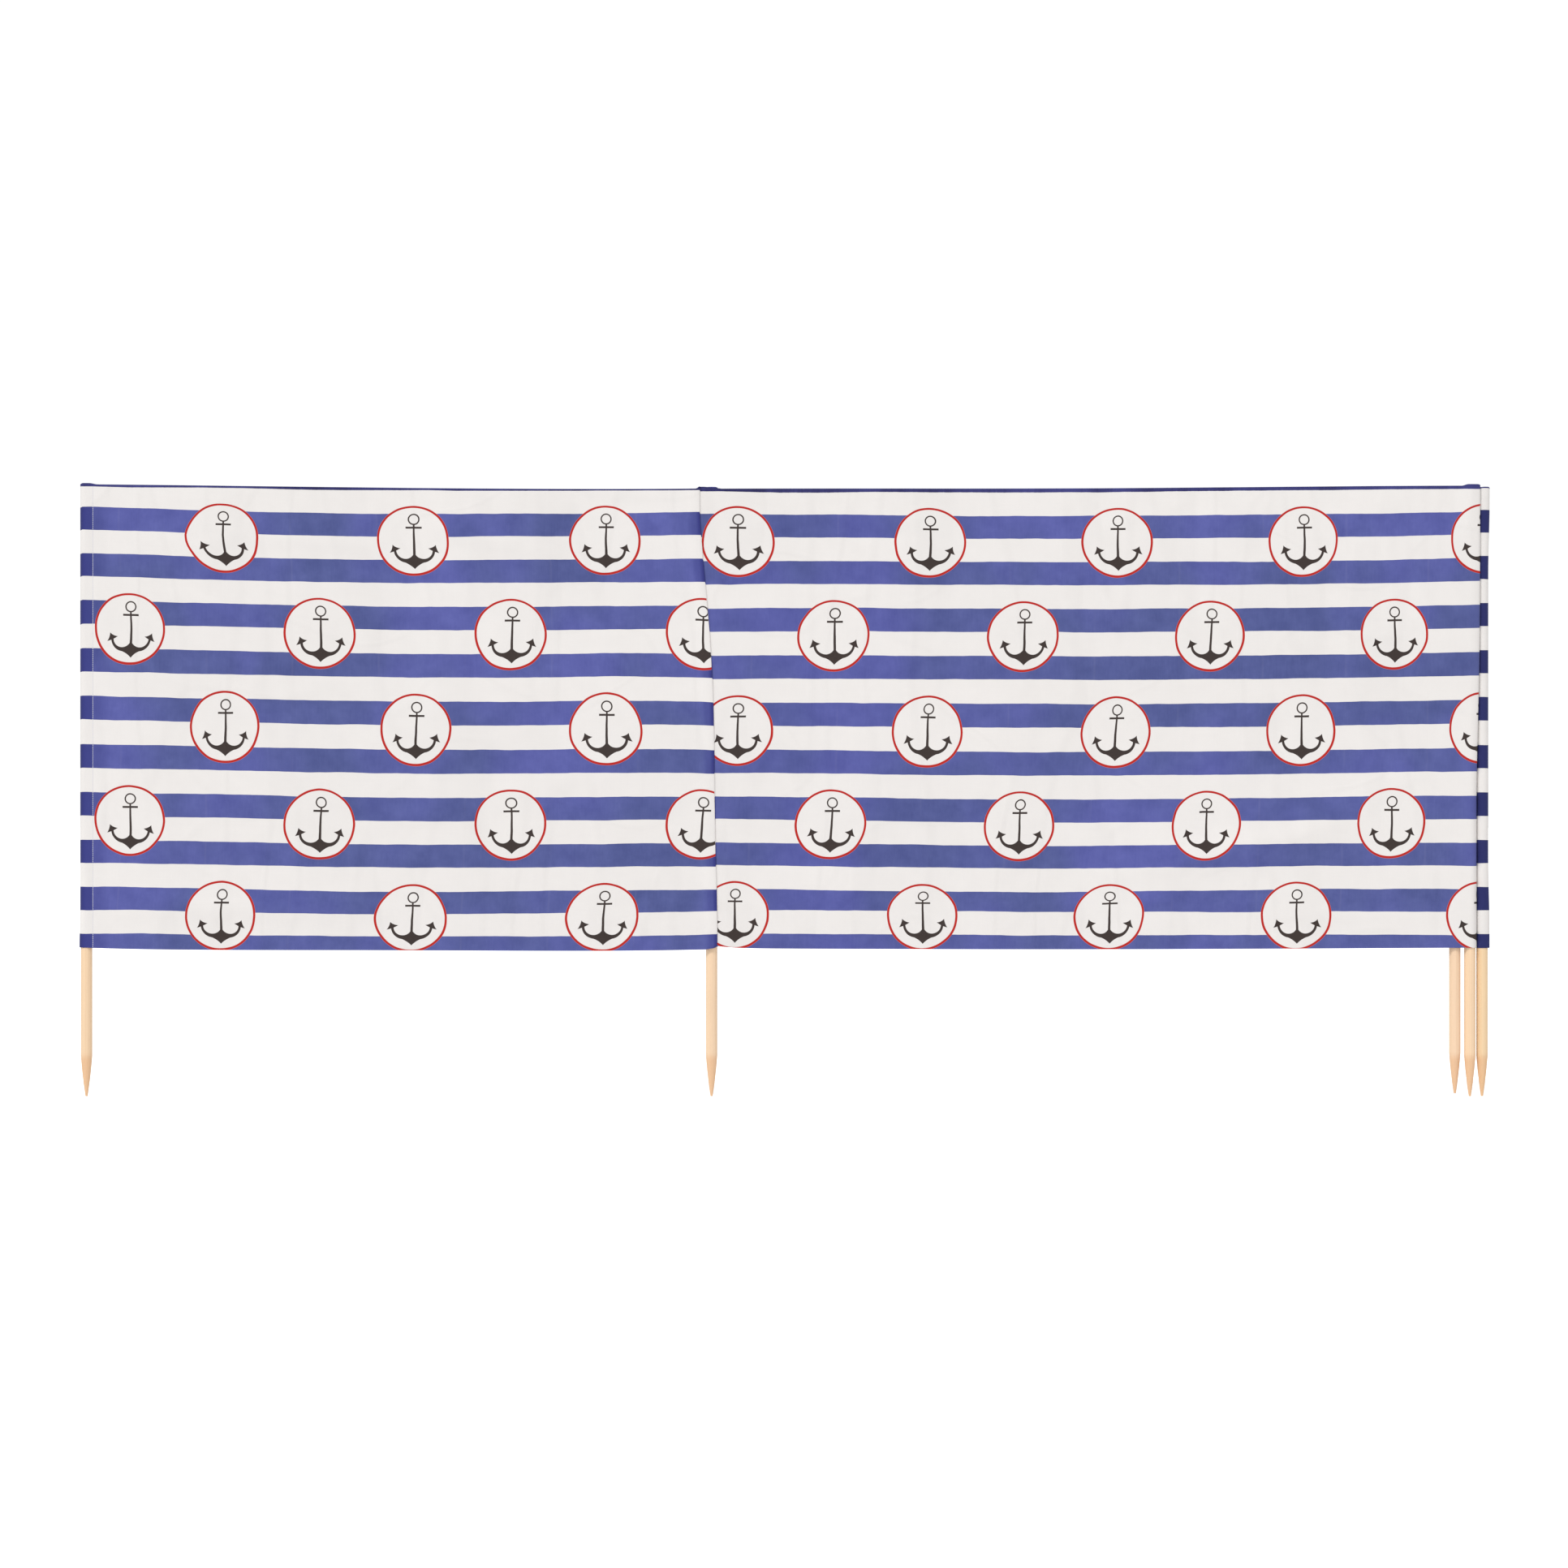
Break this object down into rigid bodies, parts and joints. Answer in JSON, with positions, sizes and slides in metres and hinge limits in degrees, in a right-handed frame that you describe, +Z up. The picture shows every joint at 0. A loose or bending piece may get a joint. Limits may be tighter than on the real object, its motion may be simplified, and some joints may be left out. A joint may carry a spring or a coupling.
{
  "type": "beach windbreak",
  "caption": "Long striped cloth screen sewn round pointed wooden stakes, with two bays spread out and the rest folded behind.",
  "frame": {"origin": "centre of the second stake's blunt tip, the stake that stays planted", "axes": "+X along the cloth from the first stake towards the folded end, -Y out of the printed front, +Z up along the stakes"},
  "size_m": [2.4316, 0.0315, 1.055],
  "materials": {
    "stake_wood": "plain sanded pine",
    "printed_cloth": "thin woven cloth with a nautical print",
    "blue_hem": "the same cloth turned over at its dark blue edge"
  },
  "bodies": {
    "main": {"stake_2": "stake_wood", "stake_3": "stake_wood", "stake_4": "stake_wood", "stake_5": "stake_wood", "bay_2": "printed_cloth", "bay_3": "printed_cloth", "bay_4": "printed_cloth", "wrap_3": "printed_cloth", "wrap_4": "printed_cloth", "wrap_5": "printed_cloth", "pocket_2": "printed_cloth", "pocket_3": "printed_cloth", "pocket_4": "printed_cloth", "pocket_5": "printed_cloth", "top_hem_2": "blue_hem", "top_hem_3": "blue_hem", "top_hem_4": "blue_hem", "bottom_hem_2": "blue_hem", "bottom_hem_3": "blue_hem", "bottom_hem_4": "blue_hem", "cap_2": "blue_hem", "cap_3": "blue_hem", "cap_4": "blue_hem", "cap_5": "blue_hem"},
    "end_bay": {"stake_1": "stake_wood", "bay_1": "printed_cloth", "pocket_1": "printed_cloth", "top_hem_1": "blue_hem", "bottom_hem_1": "blue_hem", "cap_1": "blue_hem"}
  },
  "joints": [
    {"name": "bay_1_crease", "type": "hinge", "parent": "main", "child": "end_bay", "pos_m": [-0.0118, -0.0118, 0], "axis": [0, 0, 1], "range_deg": [-90, 170]}
  ]
}
